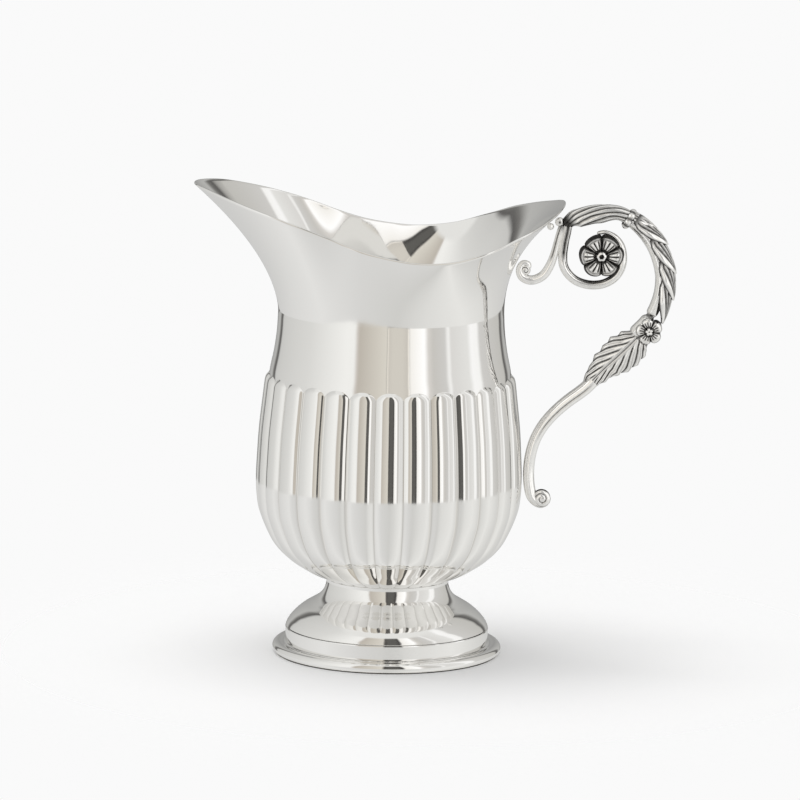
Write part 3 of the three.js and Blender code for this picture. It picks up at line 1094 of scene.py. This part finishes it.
studio = {
    "cameraPlace": (0, -3220, 690.4),
    "cameraAim": (4.59, 0, 117.05),
    "cameraRoll": math.radians(0.85),
    "lens": 322.2,
    "floorRadius": 0.28,
    "floor": "#f7f7f7",
    "backdrop": 0.955,
    "evenLight": 0.82,
    "floorFadeFrom": 0.07,
    "floorFadeTo": 0.26,
}


def makeCamera():
    data = bpy.data.cameras.new("camera")
    data.lens = studio["lens"]
    data.sensor_width = 36
    data.clip_end = 20
    camera = bpy.data.objects.new("camera", data)
    bpy.context.scene.collection.objects.link(camera)
    place = Vector(toFrame(*studio["cameraPlace"]))
    aim = Vector(toFrame(*studio["cameraAim"]))
    turn = (aim - place).to_track_quat("-Z", "Y").to_matrix().to_4x4()
    camera.matrix_world = (Matrix.Translation(place) @ turn
                           @ Matrix.Rotation(studio["cameraRoll"], 4, "Z"))
    bpy.context.scene.camera = camera


def makeFloor():
    count = 128
    radius = studio["floorRadius"]
    rim = [(*onCircle(radius, 2 * math.pi * i / count), 0) for i in range(count)]
    mesh = bpy.data.meshes.new("floor")
    mesh.from_pydata(rim, [], [tuple(range(count))])
    material, tree = newMaterial("matt_white_board")
    shader = addNode(tree, "ShaderNodeBsdfPrincipled",
                     {"Base Color": (*linear(studio["floor"]), 1), "Roughness": 0.9,
                      "Specular IOR Level": 0.1})
    where = addNode(tree, "ShaderNodeTexCoord").outputs["Object"]
    away = addNode(tree, "ShaderNodeVectorMath", {"operation": "LENGTH"}, {0: where})
    fade = addNode(tree, "ShaderNodeMapRange",
                   {"interpolation_type": "SMOOTHSTEP", "From Min": studio["floorFadeFrom"],
                    "From Max": studio["floorFadeTo"]}, {"Value": away.outputs["Value"]})
    clear = addNode(tree, "ShaderNodeBsdfTransparent")
    edged = addNode(tree, "ShaderNodeMixShader", {},
                    {0: fade.outputs["Result"], 1: shader.outputs["BSDF"],
                     2: clear.outputs["BSDF"]})
    addNode(tree, "ShaderNodeOutputMaterial", {}, {"Surface": edged.outputs["Shader"]})
    mesh.materials.append(material)
    floor = bpy.data.objects.new("floor", mesh)
    floor.visible_glossy = False
    bpy.context.scene.collection.objects.link(floor)


# What the silver mirrors, and nothing else sees: pale panels round it with a dark gap on the
# camera's side, two narrow dark ones behind, and a pale table. Bearings are in degrees from there.
mirroredStudio = {
    "strength": 1.12,
    "tableEdge": -0.184,
    "tableSoftness": 0.006,
    "ceiling": "#dfdfdd",
    "ceilingEdge": (0.83, 0.88),
    "farEdge": "#6a6866",
    "farEdgeZ": -0.1912,
}
# The table's far edge is dark behind the pitcher; the grey here is its height above farEdgeZ.
edgeBands = [
    (-180, "#3a3a3a"), (-166, "#303030"), (-158, "#000000"), (0, "#000000"), (156, "#000000"),
    (164, "#404040"), (180, "#3a3a3a")]
tableBands = [
    (-180, "#c0c0bf"), (-120, "#d4d4d3"), (-75, "#dededd"), (-35, "#d2d2d1"), (5, "#cacac8"),
    (35, "#d8d8d6"), (80, "#e2e2e0"), (130, "#d0d0ce"), (180, "#c0c0bf")]
bearingBands = [
    (-180, "#919190"), (-154, "#b0b0ae"), (-149, "#72716f"), (-145, "#565554"), (-141, "#c2c2c0"),
    (-129, "#c8c8c6"), (-88, "#d4d4d2"), (-44, "#ececea"), (-36, "#ebebe9"), (-33, "#c4beb8"),
    (-31, "#b9b3aa"), (-4, "#d3cfc6"), (-2, "#434140"), (2, "#5b5a57"), (12, "#5b5a57"),
    (17, "#403e3d"), (19.5, "#efede9"), (34, "#ffffff"), (38, "#d2cfcb"), (43, "#c3c1bd"),
    (56, "#c9c8c6"), (60, "#f1f1f0"), (63, "#d5d4d2"), (83, "#dededc"), (88, "#f4f4f4"),
    (97, "#f1f1f0"), (101, "#c9c8c6"), (141, "#bbbab6"), (145, "#565554"), (149, "#72716f"),
    (154, "#b0b0ae"), (180, "#919190")]


def byBearing(bands):
    return [((degrees + 180) / 360, colour) for degrees, colour in bands]


def makeWorld():
    world = bpy.data.worlds.new("studio")
    bpy.context.scene.world = world
    world.use_nodes = True
    tree = world.node_tree
    tree.nodes.clear()
    direction = addNode(tree, "ShaderNodeTexCoord").outputs["Generated"]
    parts = addNode(tree, "ShaderNodeSeparateXYZ", {}, {"Vector": direction})
    minusY = addNode(tree, "ShaderNodeMath", {"operation": "MULTIPLY", 1: -1.0},
                     {0: parts.outputs["Y"]})
    bearing = addNode(tree, "ShaderNodeMath", {"operation": "ARCTAN2"},
                      {0: parts.outputs["X"], 1: minusY.outputs["Value"]})
    share = addNode(tree, "ShaderNodeMapRange",
                    {"From Min": -math.pi, "From Max": math.pi, "To Min": 0.0, "To Max": 1.0},
                    {"Value": bearing.outputs["Value"]})
    bands, table, edgeHeight = (
        addNode(tree, "ShaderNodeValToRGB", {"stops": byBearing(colours)},
                {"Fac": share.outputs["Result"]})
        for colours in (bearingBands, tableBands, edgeBands))
    low, top = mirroredStudio["ceilingEdge"]
    high = addNode(tree, "ShaderNodeMapRange", {"From Min": low, "From Max": top},
                   {"Value": parts.outputs["Z"]})
    room = addNode(tree, "ShaderNodeMix",
                   {"data_type": "RGBA", 7: (*linear(mirroredStudio["ceiling"]), 1)},
                   {0: high.outputs["Result"], 6: bands.outputs["Color"]})
    edge = mirroredStudio["tableEdge"]
    edgeTop = addNode(tree, "ShaderNodeMath",
                      {"operation": "ADD", 1: mirroredStudio["farEdgeZ"]},
                      {0: edgeHeight.outputs["Color"]})
    inEdge = addNode(tree, "ShaderNodeMath", {"operation": "LESS_THAN"},
                     {0: parts.outputs["Z"], 1: edgeTop.outputs["Value"]})
    edged = addNode(tree, "ShaderNodeMix",
                    {"data_type": "RGBA", 7: (*linear(mirroredStudio["farEdge"]), 1)},
                    {0: inEdge.outputs["Value"], 6: room.outputs[2]})
    below = addNode(tree, "ShaderNodeMapRange",
                    {"From Min": edge - mirroredStudio["tableSoftness"], "From Max": edge},
                    {"Value": parts.outputs["Z"]})
    seen = addNode(tree, "ShaderNodeMix", {"data_type": "RGBA"},
                   {0: below.outputs["Result"], 6: table.outputs["Color"], 7: edged.outputs[2]})
    mirrored = addNode(tree, "ShaderNodeBackground", {"Strength": mirroredStudio["strength"]},
                       {"Color": seen.outputs[2]})
    rays = addNode(tree, "ShaderNodeLightPath")
    level = addNode(tree, "ShaderNodeMapRange",
                    {"To Min": studio["evenLight"], "To Max": studio["backdrop"]},
                    {"Value": rays.outputs["Is Camera Ray"]})
    even = addNode(tree, "ShaderNodeBackground", {"Color": (1, 1, 1, 1)},
                   {"Strength": level.outputs["Result"]})
    chosen = addNode(tree, "ShaderNodeMixShader", {},
                     {0: rays.outputs["Is Glossy Ray"], 1: even.outputs["Background"],
                      2: mirrored.outputs["Background"]})
    addNode(tree, "ShaderNodeOutputWorld", {}, {"Surface": chosen.outputs["Shader"]})


# A pale card in front of the dark gap, linked to the neck alone.
neckCard = {"bearing": math.radians(7.65), "distance": 3.0, "size": (1.13, 1.62), "height": 0.41,
            "radiance": 0.56, "colour": (1, 0.95, 0.86)}
keySoftbox = {"place": (-0.2, 0.1, 1.35), "aim": (0, 0, 0.05), "size": (0.7, 0.7), "power": 5.4}


def addPanel(name, size, power):
    data = bpy.data.lights.new(name, "AREA")
    data.shape = "RECTANGLE"
    data.size, data.size_y = size
    data.energy = power
    light = bpy.data.objects.new(name, data)
    bpy.context.scene.collection.objects.link(light)
    return light


def addNeckCard():
    width, height = neckCard["size"]
    light = addPanel("neck_card", (width, height), neckCard["radiance"] * math.pi * width * height)
    light.data.color = neckCard["colour"]
    bearing, distance = neckCard["bearing"], neckCard["distance"]
    light.location = (axisX + distance * math.sin(bearing), -distance * math.cos(bearing),
                      neckCard["height"])
    light.rotation_euler = (math.pi / 2, 0, bearing)
    light.visible_camera = False
    light.visible_diffuse = False
    lit = bpy.data.collections.new("mirrors_neck_card")
    lit.objects.link(neckPiece)
    light.light_linking.receiver_collection = lit


def addSoftbox(name, place, aim, size, power):
    light = addPanel(name, size, power)
    light.location = place
    light.rotation_euler = (Vector(aim) - Vector(place)).to_track_quat("-Z", "Y").to_euler()
    light.visible_glossy = False
    return light


# A light tent linked to the handle's pieces alone.
tent = {"distance": 2.4, "size": 2.6, "radiance": 0.34, "bearings": (-62, 0, 62), "rise": 0.75,
        "aim": (0.08, 0, 0.15)}


def addHandleTent():
    lit = bpy.data.collections.new("lit_by_tent")
    for piece in pieces[firstHandlePiece:]:
        lit.objects.link(piece)
    for degrees in tent["bearings"]:
        bearing = math.radians(degrees)
        place = (tent["distance"] * math.sin(bearing), -tent["distance"] * math.cos(bearing),
                 tent["rise"])
        size = tent["size"]
        light = addSoftbox(f"tent_{degrees}", place, tent["aim"], (size, size),
                           tent["radiance"] * math.pi * size ** 2)
        light.visible_glossy = True
        light.visible_camera = False
        light.light_linking.receiver_collection = lit


makeCamera()
makeFloor()
makeWorld()
addNeckCard()
addHandleTent()
addSoftbox("key_softbox", **keySoftbox)
bpy.context.scene.view_settings.view_transform = "Standard"
print("studio made")
